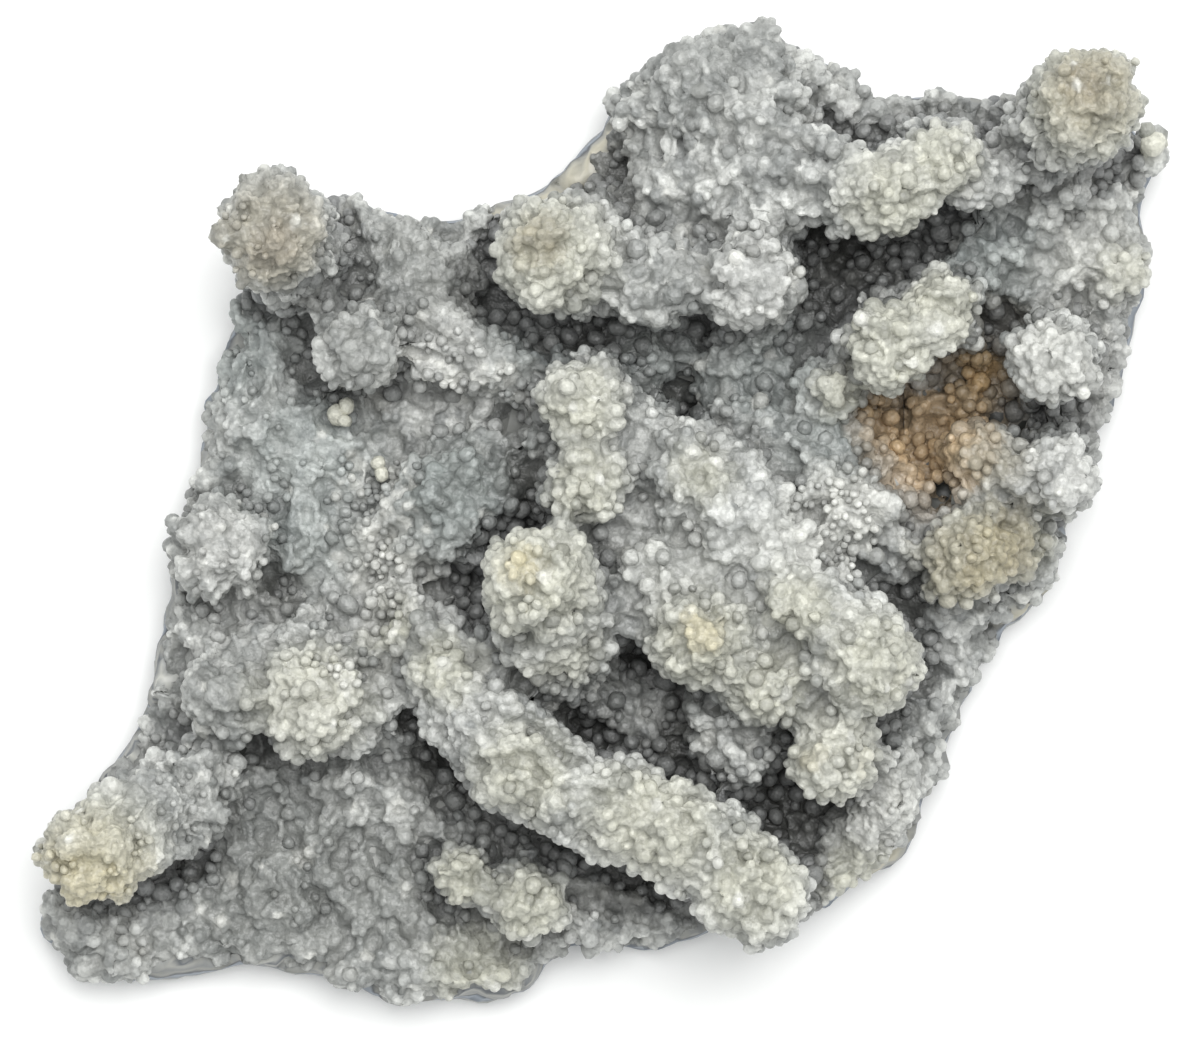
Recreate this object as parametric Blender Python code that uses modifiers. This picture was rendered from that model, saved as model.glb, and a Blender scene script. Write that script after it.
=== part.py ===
"""A loose plate of chalcedony stalactites, coated all over in drusy quartz.

The fingers, the knobs and the plate that they stand on grew as one stone, so they are one solid. Sizes are
in millimetres until the last step. X runs across the plate, Y along it, and Z up from the flat underside.
"""

import math
import random

import bmesh
import bpy
import numpy as np
from mathutils import Vector

MM = 0.001
WELD = 0.001

# The plate: a slab of banded agate, broken all round and ground flat underneath.
PLATE_THICKNESS = 8.0
RIM_ROUNDING = 2.4
PLATE_OUTLINE = [
    (-35.5, 44.5), (-32.0, 42.5), (-29.5, 43.5), (-24.5, 42.0), (-20.0, 42.5), (-15.5, 44.5), (-7.5, 47.0),
    (-3.5, 51.5), (2.5, 58.0), (5.5, 62.5), (9.0, 64.5), (14.0, 65.5), (19.0, 69.5), (23.0, 69.0),
    (29.0, 67.0), (34.5, 63.0), (38.0, 59.5), (50.5, 60.0), (59.5, 58.5), (67.5, 60.0), (74.0, 58.0),
    (76.5, 55.0), (79.0, 53.0), (78.5, 48.5), (77.5, 43.5), (78.0, 33.0), (76.0, 25.0), (75.0, 20.5),
    (70.0, 11.0), (69.5, 6.0), (66.0, -3.0), (64.5, -9.5), (60.5, -15.0), (56.5, -17.0), (55.0, -20.0),
    (52.5, -25.5), (49.0, -34.5), (47.0, -39.5), (43.0, -49.0), (38.5, -50.5), (33.0, -55.5), (26.0, -57.0),
    (16.0, -59.0), (8.5, -62.0), (-4.0, -61.0), (-9.5, -66.0), (-14.0, -69.5), (-23.5, -69.0), (-29.5, -69.5),
    (-37.0, -66.0), (-50.0, -64.0), (-62.0, -66.5), (-73.5, -65.5), (-77.0, -61.0), (-79.0, -57.5),
    (-77.0, -53.0), (-74.5, -43.0), (-70.0, -36.0), (-64.5, -27.5), (-63.0, -19.5), (-61.0, -10.0),
    (-61.5, -7.0), (-57.5, 5.0), (-54.5, 17.0), (-53.0, 24.0), (-51.0, 32.0), (-49.0, 40.0), (-43.0, 44.5),
]

# Stalactites: each runs from its root to its tip through points of (x, y, z, radius).
STALACTITES = {
    "upper_left_ball": [(-42.0, 35.5, 10.0, 7.5), (-44.0, 38.5, 27.0, 8.0), (-45.0, 39.5, 36.0, 8.4)],
    "upper_right_ball": [(63.0, 51.5, 10.0, 8.0), (65.5, 55.5, 27.0, 8.2), (67.0, 57.0, 36.0, 8.4)],
    "lower_left_tip": [(-54.0, -36.0, 8.0, 6.5), (-60.0, -40.5, 17.0, 7.6), (-66.5, -44.0, 23.0, 8.2),
                       (-70.0, -46.5, 26.0, 8.0)],
    "left_dome": [(-53.0, -4.0, 8.0, 7.5), (-53.0, -4.0, 16.0, 7.4)],
    "round_knob": [(-31.5, 27.0, 8.0, 6.5), (-34.0, 23.5, 23.0, 6.6)],
    "grey_dome": [(-28.0, -3.0, 8.0, 8.5), (-21.0, 1.5, 12.0, 9.3), (-16.5, 4.0, 12.0, 8.0)],
    "lower_cream_knob": [(-42.0, -18.5, 9.0, 8.0), (-40.0, -26.0, 19.0, 8.4)],
    "lower_cream_side": [(-33.5, -21.5, 11.0, 7.5), (-35.0, -26.5, 15.0, 7.3)],
    "lower_outer_knob": [(-51.5, -20.0, 9.0, 6.5), (-52.0, -25.5, 17.0, 6.6)],
    "middle_tower": [(-4.0, -19.5, 8.0, 9.5), (-5.5, -16.0, 21.0, 9.4), (-8.0, -9.0, 34.0, 8.4)],
    "middle_knob": [(-3.5, 2.5, 8.0, 6.0), (-2.0, 4.0, 27.0, 6.2)],
    "upper_middle_knob": [(-1.5, 19.0, 8.0, 6.5), (-2.5, 16.0, 27.0, 6.4)],
    "upper_middle_shoulder": [(-3.0, 15.0, 14.0, 6.0), (-7.0, 12.0, 19.0, 4.3)],
    "big_cream_knob": [(1.0, 38.0, 9.0, 8.5), (-3.5, 36.5, 22.0, 8.5), (-6.5, 36.5, 28.0, 8.4)],
    "cream_neighbour": [(8.0, 35.5, 9.0, 7.5), (8.0, 33.0, 24.0, 7.0)],
    "upper_round_knob": [(22.0, 35.5, 8.0, 7.0), (21.0, 33.0, 28.0, 7.1)],
    "upper_round_tail": [(21.5, 31.0, 13.0, 6.0), (21.0, 25.5, 15.0, 3.8)],
    "upper_pair_right": [(49.0, 51.5, 10.0, 6.5), (47.5, 49.5, 29.0, 6.0)],
    "upper_pair_side": [(53.5, 49.5, 9.0, 5.5), (54.0, 47.0, 23.0, 5.0)],
    "right_pair_left": [(42.0, 26.0, 9.0, 7.0), (40.5, 24.0, 29.0, 6.5)],
    "right_pair_right": [(48.5, 28.5, 9.0, 6.3), (47.0, 28.5, 29.0, 6.1)],
    "right_small_knob": [(34.5, 19.0, 8.0, 5.0), (33.5, 18.0, 19.0, 4.8)],
    "right_knob": [(64.5, 23.5, 8.0, 6.5), (63.0, 21.5, 26.0, 6.6)],
    "right_lower_knob": [(65.0, 7.5, 8.0, 6.0), (64.0, 6.0, 23.0, 5.9)],
    "rusty_knob": [(54.0, 8.5, 6.0, 5.5), (54.0, 8.5, 19.0, 5.4)],
    "right_rim_mass": [(50.5, -6.5, 9.0, 7.0), (51.5, -5.5, 21.0, 6.8), (57.5, -4.0, 17.0, 5.4),
                       (61.5, -3.0, 12.0, 4.5)],
    "right_rim_foot": [(54.0, -11.5, 8.0, 4.5), (54.0, -11.5, 12.0, 4.3)],
    "ridge_top_knob": [(26.0, -11.0, 26.0, 5.0), (27.0, -12.0, 30.0, 4.6)],
    "finger_knob_below": [(24.5, -22.0, 9.0, 6.0), (23.5, -23.5, 26.0, 5.8)],
    "low_lump": [(19.5, -33.0, 8.0, 6.5), (19.5, -33.0, 15.0, 6.3)],
    "lower_right_knob": [(34.5, -32.0, 8.0, 6.5), (33.0, -33.5, 25.0, 6.7)],
    "rim_ball": [(76.5, 51.5, 8.0, 2.0), (77.5, 53.0, 12.0, 1.8)],
}

# Ridges: fingers that lie along the plate, grown down onto it under every point.
RIDGES = {
    "long_lower_finger": [(-24.5, -17.0, 17.0, 6.0), (-20.0, -24.0, 21.0, 7.1), (-12.5, -33.5, 25.0, 7.5),
                          (-4.0, -38.5, 27.0, 7.4), (5.5, -41.5, 28.0, 7.1), (14.5, -46.0, 28.0, 7.5),
                          (22.5, -53.0, 27.0, 7.6)],
    "long_upper_finger": [(8.0, 10.0, 21.0, 6.4), (14.0, 6.0, 24.0, 7.4), (19.5, 0.5, 25.0, 7.6),
                          (26.0, -7.5, 25.0, 6.6), (32.5, -14.5, 27.0, 6.8), (37.5, -20.0, 29.0, 8.0)],
    "middle_finger": [(5.0, -2.5, 18.0, 6.0), (9.0, -7.5, 22.0, 6.8), (14.0, -17.0, 29.0, 7.2)],
    "top_finger": [(9.0, 46.0, 15.0, 6.0), (19.5, 46.5, 19.0, 6.5), (31.0, 47.0, 23.0, 6.5),
                   (40.0, 45.0, 29.0, 6.6)],
    "crusted_finger": [(29.5, 7.5, 16.0, 6.0), (35.5, 0.5, 21.0, 6.2), (39.0, -6.5, 14.0, 4.8)],
    "crust_ridge": [(19.5, 12.0, 13.0, 6.0), (26.5, 11.0, 14.0, 6.0), (35.0, 8.5, 13.0, 5.3),
                    (43.0, 2.5, 12.0, 5.0)],
    "smooth_finger": [(40.5, -32.5, 12.0, 5.5), (40.0, -40.5, 14.0, 5.8), (37.0, -47.0, 10.0, 4.8)],
    "sugar_ridge": [(-23.5, 25.5, 14.0, 6.3), (-17.5, 22.5, 14.5, 5.8), (-12.0, 20.0, 14.0, 5.3)],
    "upper_left_shoulder": [(-36.0, 39.5, 10.0, 5.5), (-28.0, 36.5, 12.0, 6.5), (-22.5, 32.0, 12.0, 6.0)],
    "shoulder_foot": [(-28.5, 31.0, 13.0, 6.5), (-27.0, 27.0, 14.0, 6.0)],
    "top_hump": [(7.0, 57.5, 10.0, 6.0), (14.0, 58.5, 16.0, 7.2), (23.5, 56.0, 18.0, 7.0)],
    "top_crest": [(20.5, 62.0, 13.0, 7.0), (28.0, 60.0, 11.0, 6.0), (34.0, 60.0, 9.0, 3.6)],
    "top_rim": [(42.0, 57.0, 8.0, 3.2), (50.5, 57.0, 8.5, 3.2), (56.0, 55.5, 9.0, 4.2)],
    "right_shelf": [(58.0, 43.0, 10.0, 5.0), (64.5, 45.5, 13.0, 6.0), (72.5, 46.0, 9.0, 4.5)],
    "right_crest": [(60.5, 32.0, 9.0, 5.0), (67.5, 36.5, 10.0, 4.8), (73.0, 35.5, 12.0, 5.0)],
    "right_bank": [(70.5, 26.0, 8.0, 5.0), (70.0, 16.5, 7.0, 4.0)],
    "lower_right_bank": [(45.0, -27.0, 10.0, 4.4), (45.5, -33.5, 8.5, 3.8)],
    "bottom_rim": [(-26.5, -63.0, 9.0, 5.2), (-19.0, -64.5, 7.5, 4.0), (-10.0, -62.0, 7.0, 3.6)],
}

# Low domes of druse between the stalactites, as (x, y, z, radius).
DOMES = [
    (-65.5, -59.0, 4.0, 6.5), (-74.0, -57.5, 5.5, 4.2), (-46.0, -53.0, 3.5, 10.0), (-35.5, -35.5, 7.5, 6.5),
    (-46.0, -37.0, 7.5, 5.3), (-28.0, -41.0, 7.5, 6.5), (-56.0, -58.0, 4.5, 6.0), (-28.0, -53.5, 7.0, 6.5),
    (-19.5, -50.5, 17.0, 5.0), (-19.0, -50.0, 11.0, 5.0), (-10.0, -54.0, 17.0, 6.2), (-10.0, -54.0, 10.0, 6.0),
    (-1.0, -53.0, 7.0, 4.0), (54.0, 36.5, 13.0, 5.2), (7.0, 22.0, 10.0, 5.4), (1.5, 25.0, 9.0, 4.3),
    (17.0, 20.0, 11.0, 4.2), (24.5, 21.5, 10.0, 4.3), (3.5, -25.5, 9.0, 4.8), (7.0, -30.5, 7.5, 4.2),
    (4.5, -53.0, 7.0, 4.5), (0.0, -57.0, 6.0, 4.5), (9.0, -57.0, 6.5, 4.5), (28.0, -45.0, 7.5, 3.2),
    (31.5, -50.5, 11.0, 4.3), (-16.5, 40.5, 8.5, 3.5), (-47.5, 13.5, 5.5, 9.0), (-42.0, 8.0, 5.5, 9.0),
    (-48.5, 20.5, 7.5, 5.0), (-50.0, 8.0, 5.5, 7.0), (-40.5, 15.0, 8.0, 5.5), (-46.5, 27.5, 8.5, 4.3),
    (-35.0, 9.5, 8.0, 5.0), (-42.0, -3.0, 6.5, 8.0), (-36.0, -10.0, 7.0, 6.0), (-29.0, -11.0, 9.0, 6.0),
    (-49.0, -14.0, 7.0, 6.0), (-56.5, -16.0, 7.5, 5.5), (16.0, -28.5, 17.0, 4.3), (15.5, -28.5, 10.0, 4.5),
    (46.5, -13.0, 11.0, 4.8), (50.0, -17.0, 9.0, 3.5), (51.5, -21.0, 9.0, 3.0), (8.0, 50.5, 10.0, 4.8),
    (28.0, 28.0, 8.0, 3.6), (-60.0, -28.0, 6.0, 4.2),
]

# Dark gaps between the stalactites, where the druse stays low, as (x, y, radius).
GAPS = [
    (-16.5, 32.0, 6.0), (0.0, 47.5, 5.0), (33.0, 35.5, 7.0), (12.5, 16.5, 4.0), (-9.5, 8.0, 5.5),
    (-2.5, -28.5, 4.0), (12.5, -33.0, 4.0), (4.5, -17.0, 5.0), (28.0, -41.0, 6.0), (6.0, -50.0, 4.5),
    (-22.0, -35.5, 5.5), (46.0, 12.0, 8.0), (43.0, -12.0, 5.0), (20.0, -9.0, 4.0), (38.0, 16.5, 5.0),
]

# Rounded lumps of druse a few millimetres across, spread over the plate between the stalactites.
LUMP_RADII = (2.6, 4.4)
LUMP_SPACING = 4.6
LUMP_RISE = 1.0
LUMP_MARGIN = 0.7
LUMP_TRIES = 6000
BALL_SUBDIVISIONS = 3
SEED = 7

# A ball of a finger stands every third of a radius, on a column this much slimmer than itself.
BALLS_PER_RADIUS = 3
COLUMN_TOP = 0.85
COLUMN_FOOT = 0.8

# The skin that joins it all, and the height at which its underside is cut flat.
VOXEL = 1.7
SOFTENING = 0.25
MOST_TRIANGLES = 9800
CUT_HEIGHT = 0.5

# Crystal tips: points of the skin pulled out, no two side by side, and the points between them pushed in.
TIP_HEIGHTS = (0.6, 1.1)
TIP_STEEPNESS = 0.33
TIP_FOOT_DEPTH = 0.25
DEEPEST_HOLLOW = 0.25


def clear_scene():
    for obj in list(bpy.data.objects):
        bpy.data.objects.remove(obj, do_unlink=True)


def collection_named(name):
    made = bpy.data.collections.new(name)
    bpy.context.scene.collection.children.link(made)
    return made


def ball_shape(subdivisions):
    """The points and faces of a ball of radius 1."""
    bm = bmesh.new()
    bmesh.ops.create_icosphere(bm, subdivisions=subdivisions, radius=1)
    points = np.array([vertex.co[:] for vertex in bm.verts])
    faces = np.array([[vertex.index for vertex in face.verts] for face in bm.faces])
    bm.free()
    return points, faces


def joined_balls(balls, subdivisions):
    """One mesh of all the balls, each given as (x, y, z, radius)."""
    points, faces = ball_shape(subdivisions)
    placed = np.array(balls)
    corners = placed[:, None, :3] + points[None] * placed[:, None, 3:]
    first = np.arange(len(balls))[:, None, None] * len(points)
    mesh = bpy.data.meshes.new("balls")
    mesh.from_pydata(corners.reshape(-1, 3).tolist(), [], (faces[None] + first).reshape(-1, 3).tolist())
    return mesh


def along(points):
    """Balls a third of a radius apart, from the first point of a finger to its last."""
    balls = [points[0]]
    for start, end in zip(points, points[1:]):
        reach = (Vector(end[:3]) - Vector(start[:3])).length
        steps = max(1, math.ceil(BALLS_PER_RADIUS * reach / max(start[3], end[3])))
        for step in range(1, steps + 1):
            share = step / steps
            balls.append(tuple(a + (b - a) * share for a, b in zip(start, end)))
    return balls


def rooted(points):
    """The balls of a lying finger, and a slimmer column from each of its points down to the plate."""
    balls = along(points)
    for x, y, z, radius in list(balls):
        balls += along([(x, y, z, radius * COLUMN_TOP), (x, y, PLATE_THICKNESS, radius * COLUMN_FOOT)])
    return balls


def plate_mesh():
    """The slab: the broken outline with a rounded rim, standing on Z = 0."""
    curve = bpy.data.curves.new("plate_outline", "CURVE")
    curve.dimensions = "2D"
    curve.fill_mode = "BOTH"
    curve.extrude = PLATE_THICKNESS / 2 - RIM_ROUNDING
    curve.bevel_depth = RIM_ROUNDING
    curve.bevel_resolution = 2
    curve.offset = -RIM_ROUNDING
    spline = curve.splines.new("POLY")
    spline.points.add(len(PLATE_OUTLINE) - 1)
    for point, (x, y) in zip(spline.points, PLATE_OUTLINE):
        point.co = (x, y, 0, 1)
    spline.use_cyclic_u = True
    obj = bpy.data.objects.new("plate_outline", curve)
    obj.location.z = PLATE_THICKNESS / 2
    bpy.context.scene.collection.objects.link(obj)
    bpy.context.view_layer.update()
    mesh = bpy.data.meshes.new_from_object(obj.evaluated_get(bpy.context.evaluated_depsgraph_get()))
    mesh.transform(obj.matrix_world)
    bpy.data.objects.remove(obj)
    bm = bmesh.new()
    bm.from_mesh(mesh)
    bmesh.ops.remove_doubles(bm, verts=bm.verts, dist=WELD)
    bm.to_mesh(mesh)
    bm.free()
    return mesh


def inside_plate(x, y, margin):
    """Whether a point lies inside the outline, at least margin from it."""
    inside = False
    nearest = math.inf
    for (ax, ay), (bx, by) in zip(PLATE_OUTLINE, PLATE_OUTLINE[1:] + PLATE_OUTLINE[:1]):
        if (ay > y) != (by > y) and x < ax + (bx - ax) * (y - ay) / (by - ay):
            inside = not inside
        share = ((x - ax) * (bx - ax) + (y - ay) * (by - ay)) / ((bx - ax) ** 2 + (by - ay) ** 2)
        share = min(1, max(0, share))
        nearest = min(nearest, math.hypot(x - ax - share * (bx - ax), y - ay - share * (by - ay)))
    return inside and nearest >= margin


def ground_lumps():
    """Lumps spread over the plate, a fixed distance apart, but not in the gaps."""
    chance = random.Random(SEED)
    xs, ys = zip(*PLATE_OUTLINE)
    placed = []
    for _ in range(LUMP_TRIES):
        x, y = chance.uniform(min(xs), max(xs)), chance.uniform(min(ys), max(ys))
        if any(math.hypot(x - gx, y - gy) < radius for gx, gy, radius in GAPS):
            continue
        if any(math.hypot(x - px, y - py) < LUMP_SPACING for px, py, _, _ in placed):
            continue
        radius = chance.uniform(*LUMP_RADII)
        if inside_plate(x, y, radius * LUMP_MARGIN):
            placed.append((x, y, PLATE_THICKNESS + chance.uniform(-LUMP_RISE, LUMP_RISE), radius))
    return placed


def stone_mesh():
    """Every ball and the slab, in one mesh, still overlapping."""
    balls = [ball for points in STALACTITES.values() for ball in along(points)]
    balls += [ball for points in RIDGES.values() for ball in rooted(points)]
    balls += DOMES + ground_lumps()
    bm = bmesh.new()
    bm.from_mesh(plate_mesh())
    bm.from_mesh(joined_balls(balls, BALL_SUBDIVISIONS))
    mesh = bpy.data.meshes.new("stone")
    bm.to_mesh(mesh)
    bm.free()
    return mesh


def evaluated(obj):
    graph = bpy.context.evaluated_depsgraph_get()
    return bpy.data.meshes.new_from_object(obj.evaluated_get(graph), depsgraph=graph)


def fused(mesh, home):
    """The overlapping shapes grown into one skin, thinned to the triangles allowed and cut flat at Z = 0."""
    obj = bpy.data.objects.new("stalactite_plate", mesh)
    home.objects.link(obj)
    skin = obj.modifiers.new("one_skin", "REMESH")
    skin.mode = "VOXEL"
    skin.voxel_size = VOXEL
    soften = obj.modifiers.new("soften", "SMOOTH")
    soften.factor = SOFTENING
    soften.iterations = 1
    obj.data = evaluated(obj)
    obj.modifiers.clear()
    triangles = sum(len(face.vertices) - 2 for face in obj.data.polygons)
    thin = obj.modifiers.new("thin", "DECIMATE")
    thin.ratio = MOST_TRIANGLES / triangles
    thin.use_collapse_triangulate = True
    obj.data = evaluated(obj)
    obj.modifiers.clear()
    return obj


def hollow(vertex, neighbours):
    """How far a point of the skin lies below the middle of the points around it."""
    middle = sum((other.co for other in neighbours), Vector()) / len(neighbours)
    return (middle - vertex.co).dot(vertex.normal)


def raise_tips(obj):
    """Pulls points of the skin out into blunt crystal tips, no two side by side, but not in the creases."""
    chance = random.Random(SEED)
    bm = bmesh.new()
    bm.from_mesh(obj.data)
    bm.normal_update()
    around = {vertex: [edge.other_vert(vertex) for edge in vertex.link_edges] for vertex in bm.verts}
    free = [
        vertex for vertex in bm.verts
        if vertex.co.z > PLATE_THICKNESS and hollow(vertex, around[vertex]) < DEEPEST_HOLLOW
    ]
    chance.shuffle(free)
    moves = {}
    for vertex in free:
        if not any(other in moves for other in around[vertex]):
            nearest = min(edge.calc_length() for edge in vertex.link_edges)
            moves[vertex] = vertex.normal * min(chance.uniform(*TIP_HEIGHTS), TIP_STEEPNESS * nearest)
    for vertex in free:
        if vertex not in moves:
            vertex.co -= vertex.normal * TIP_FOOT_DEPTH
    for vertex, move in moves.items():
        vertex.co += move
    bm.to_mesh(obj.data)
    bm.free()


def cut_flat(obj, height):
    """Takes away what is below the height, and closes the cut with one flat face."""
    bm = bmesh.new()
    bm.from_mesh(obj.data)
    everything = bm.verts[:] + bm.edges[:] + bm.faces[:]
    cut = bmesh.ops.bisect_plane(
        bm, geom=everything, plane_co=(0, 0, height), plane_no=(0, 0, -1), clear_outer=True, dist=WELD
    )
    rim = [part for part in cut["geom_cut"] if isinstance(part, bmesh.types.BMEdge)]
    bmesh.ops.contextual_create(bm, geom=rim)
    bmesh.ops.triangulate(bm, faces=bm.faces[:])
    bmesh.ops.recalc_face_normals(bm, faces=bm.faces[:])
    bm.to_mesh(obj.data)
    bm.free()


def chalcedony():
    """Milky grey-white quartz with a slight gloss."""
    made = bpy.data.materials.new("drusy_chalcedony")
    made.use_nodes = True
    surface = made.node_tree.nodes["Principled BSDF"]
    surface.inputs["Base Color"].default_value = (0.48, 0.48, 0.45, 1)
    surface.inputs["Roughness"].default_value = 0.45
    surface.inputs["Metallic"].default_value = 0.0
    surface.inputs["IOR"].default_value = 1.54
    return made


def centre_on_origin(obj):
    """Metres, with the middle of the box above the origin and the flat underside on Z = 0."""
    xs, ys, zs = zip(*(vertex.co for vertex in obj.data.vertices))
    middle = Vector(((min(xs) + max(xs)) / 2, (min(ys) + max(ys)) / 2, min(zs)))
    for vertex in obj.data.vertices:
        vertex.co = (vertex.co - middle) * MM


def build():
    clear_scene()
    home = collection_named("chalcedony_stalactite")
    stone = fused(stone_mesh(), home)
    raise_tips(stone)
    cut_flat(stone, CUT_HEIGHT)
    centre_on_origin(stone)
    stone.data.materials.clear()
    stone.data.materials.append(chalcedony())
    stone.data.shade_smooth()


build()
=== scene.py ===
"""A loose plate of chalcedony stalactites, coated all over in drusy quartz and lying on a pale studio floor.

Places in the lists below are in millimetres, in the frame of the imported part: X across the plate, Y along it and Z
up from its flat underside. Shares, tints and stains run from 0, none, to 1, all.
"""

import math

import bmesh
import bpy
import numpy as np
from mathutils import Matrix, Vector
from mathutils.kdtree import KDTree


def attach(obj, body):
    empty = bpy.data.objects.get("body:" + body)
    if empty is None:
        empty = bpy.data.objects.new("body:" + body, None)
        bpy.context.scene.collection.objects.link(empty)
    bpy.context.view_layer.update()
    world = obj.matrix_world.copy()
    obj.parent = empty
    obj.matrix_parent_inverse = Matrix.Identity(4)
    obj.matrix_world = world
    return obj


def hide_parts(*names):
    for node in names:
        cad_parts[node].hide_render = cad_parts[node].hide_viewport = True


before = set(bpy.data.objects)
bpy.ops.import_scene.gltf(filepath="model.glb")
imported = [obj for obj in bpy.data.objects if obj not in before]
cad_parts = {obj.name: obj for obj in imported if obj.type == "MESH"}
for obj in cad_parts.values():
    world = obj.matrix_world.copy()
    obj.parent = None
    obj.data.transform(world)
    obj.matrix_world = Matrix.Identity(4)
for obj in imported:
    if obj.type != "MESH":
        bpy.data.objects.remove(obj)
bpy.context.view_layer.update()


# The stone: a slab of banded chalcedony and the stalactites that stand on it, grown as one piece. Druse hides
# it from above, but its broken rim and flat underside are bare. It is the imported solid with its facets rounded
# away by a finer skin, which is then roughened.
MM = 0.001
STONE_NODE = "stalactite_plate"
CORE_VOXEL = 1.3 * MM
CORE_ROUNDING = 2
COAT_VOXEL = 0.45 * MM
COAT_ROUNDING = 17
CORE_SINK = 1.4
SKIN_LUMPS = ((11.0, 0.85), (5.5, 0.55))
SKIN_SEED = 11
SKIN_FOOT = 1
CREASE_DEPTH = 0.95
WELD = 0.00001
RIM_TOP = 6.2
RIM_UNEVEN = 1.6
RIM_WAVES = (9.0, 21)
RIM_SEEN_RISE = 3.5
BARE_TILT = 0.75
BARE_TILT_SEEN = 0.35
BARE_FADE = 0.3
CLEFT_REACH = 6
CLEFT_DEPTH = 10.0
CREASE_REACH = 3
CREASE_DROP = 3.5
CREASE_SINK = 1.4
CREASE_TILT = 0.3
GRID_MARGIN = 10
WAVE_COUNT = 24
WAVE_LENGTHS = (0.75, 1.35)
WAVE_TOP = 7
ZONE_EDGE = 1.2
ZONE_FADE = 0.7

# How the stone's materials look. Pattern scales are how many times a pattern repeats in one metre.
QUARTZ_ROUGHNESS = 0.42
QUARTZ_IOR = 1.54
BANDS = 118.0
BAND_BENDS = 60.0
BAND_BEND_SHARE = 0.5
ROCK_GRAIN = 900.0
BED_COLOUR = "#a9aaa6"
# Painted shade: the bed of the druse takes this dark colour down in the clefts and creases.
CLEFT_BED_PAINTED_SHADE = "#2f302d"

# Round zones, each as (x, y, z, radius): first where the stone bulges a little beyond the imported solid.
SWELL = 1.8
SWOLLEN = [(-78, -57, 8, 9), (-72, -62, 8, 7), (13, 69, 16, 9), (21, 69, 16, 8), (79, 53, 11, 5)]

# The stretches of the rim where the slab itself shows from above.
RIM_SEEN = [
    (-13, 44, 7, 3), (-8, 46, 7, 3), (-4, 50, 7, 4), (-1, 54, 7, 3), (64, -9, 7, 5), (60, -15, 7, 4),
    (-60, -66, 7, 7), (-48, -65, 7, 6), (-38, -66, 7, 4), (-16, -70, 7, 6), (-8, -66, 7, 4), (42, -49, 7, 5),
    (-62, -8, 7, 5), (-64, -22, 7, 5), (-69, -33, 7, 5),
]

# The stretches of the rim where a cream crust hides its bands, above one height.
CRUST = "#b5b1a1"
CRUST_FOOT = 5.8
RIM_CRUSTED = [(-12, 44, 7, 5), (-8, 46, 7, 5), (-4, 50, 7, 6), (-1, 54, 7, 6), (60, -12, 7, 7), (42, -49, 7, 6)]


def linear(hex_colour):
    """A colour of the eye, as sRGB hex, in the linear numbers that shaders use."""
    parts = [int(hex_colour[i:i + 2], 16) / 255 for i in (1, 3, 5)]
    return tuple(p / 12.92 if p <= 0.04045 else ((p + 0.055) / 1.055) ** 2.4 for p in parts) + (1.0,)


def add_node(material, kind, settings=None, inputs=None):
    """Adds a shader node with its settings, and gives each input a value or another node's output."""
    tree = material.node_tree
    made = tree.nodes.new(kind)
    for name, value in (settings or {}).items():
        setattr(made, name, value)
    for name, value in (inputs or {}).items():
        if isinstance(value, bpy.types.NodeSocket):
            tree.links.new(value, made.inputs[name])
        else:
            made.inputs[name].default_value = value
    return made


def new_material(name):
    """An empty node material with only its output."""
    made = bpy.data.materials.new(name)
    made.use_nodes = True
    made.node_tree.nodes.clear()
    return made


def colour_steps(ramp, steps):
    """Sets a colour ramp's stops, each a place from 0 to 1 and a hex colour."""
    while len(ramp.elements) < len(steps):
        ramp.elements.new(1.0)
    for element, (place, colour) in zip(ramp.elements, steps):
        element.position = place
        element.color = linear(colour)


def show(obj):
    """Puts an object in the scene, riding on the stone's one body."""
    bpy.context.scene.collection.objects.link(obj)
    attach(obj, "root")


def points_of(mesh):
    """The places of a mesh's points, in millimetres."""
    held = np.zeros(len(mesh.vertices) * 3, np.float32)
    mesh.vertices.foreach_get("co", held)
    return held.reshape(-1, 3) / MM


def normals_of(mesh):
    """The outward direction at each point of a mesh."""
    held = np.zeros(len(mesh.vertices) * 3, np.float32)
    mesh.vertex_normals.foreach_get("vector", held)
    return held.reshape(-1, 3)


def set_attribute(mesh, name, values):
    """Stores a number, the three parts of a direction or the four of a colour at each point of a mesh."""
    kind, field = {1: ("FLOAT", "value"), 3: ("FLOAT_VECTOR", "vector"), 4: ("FLOAT_COLOR", "color")}[
        values.size // len(values)]
    mesh.attributes.new(name, kind, "POINT").data.foreach_set(field, values.astype(np.float32).ravel())


def waves(points, size, seed):
    """Smooth seeded unevenness from -1 to 1: two dozen sine waves of about the given length, in any direction."""
    chance = np.random.default_rng(seed)
    total = np.zeros(len(points))
    for _ in range(WAVE_COUNT):
        way = chance.normal(size=3)
        way *= math.tau / (size * chance.uniform(*WAVE_LENGTHS) * np.linalg.norm(way))
        total += np.sin(points @ way + chance.uniform(0, math.tau))
    return np.clip(total / WAVE_TOP, -1, 1)


def within(points, zones):
    """How deep each point lies in a list of round zones: 1 in the middle half of one, fading to 0 just outside."""
    deep = np.zeros(len(points))
    for x, y, z, radius in zones:
        away = np.linalg.norm(points - (x, y, z), axis=1) / radius
        deep = np.maximum(deep, np.clip((ZONE_EDGE - away) / ZONE_FADE, 0, 1))
    return deep


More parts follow.
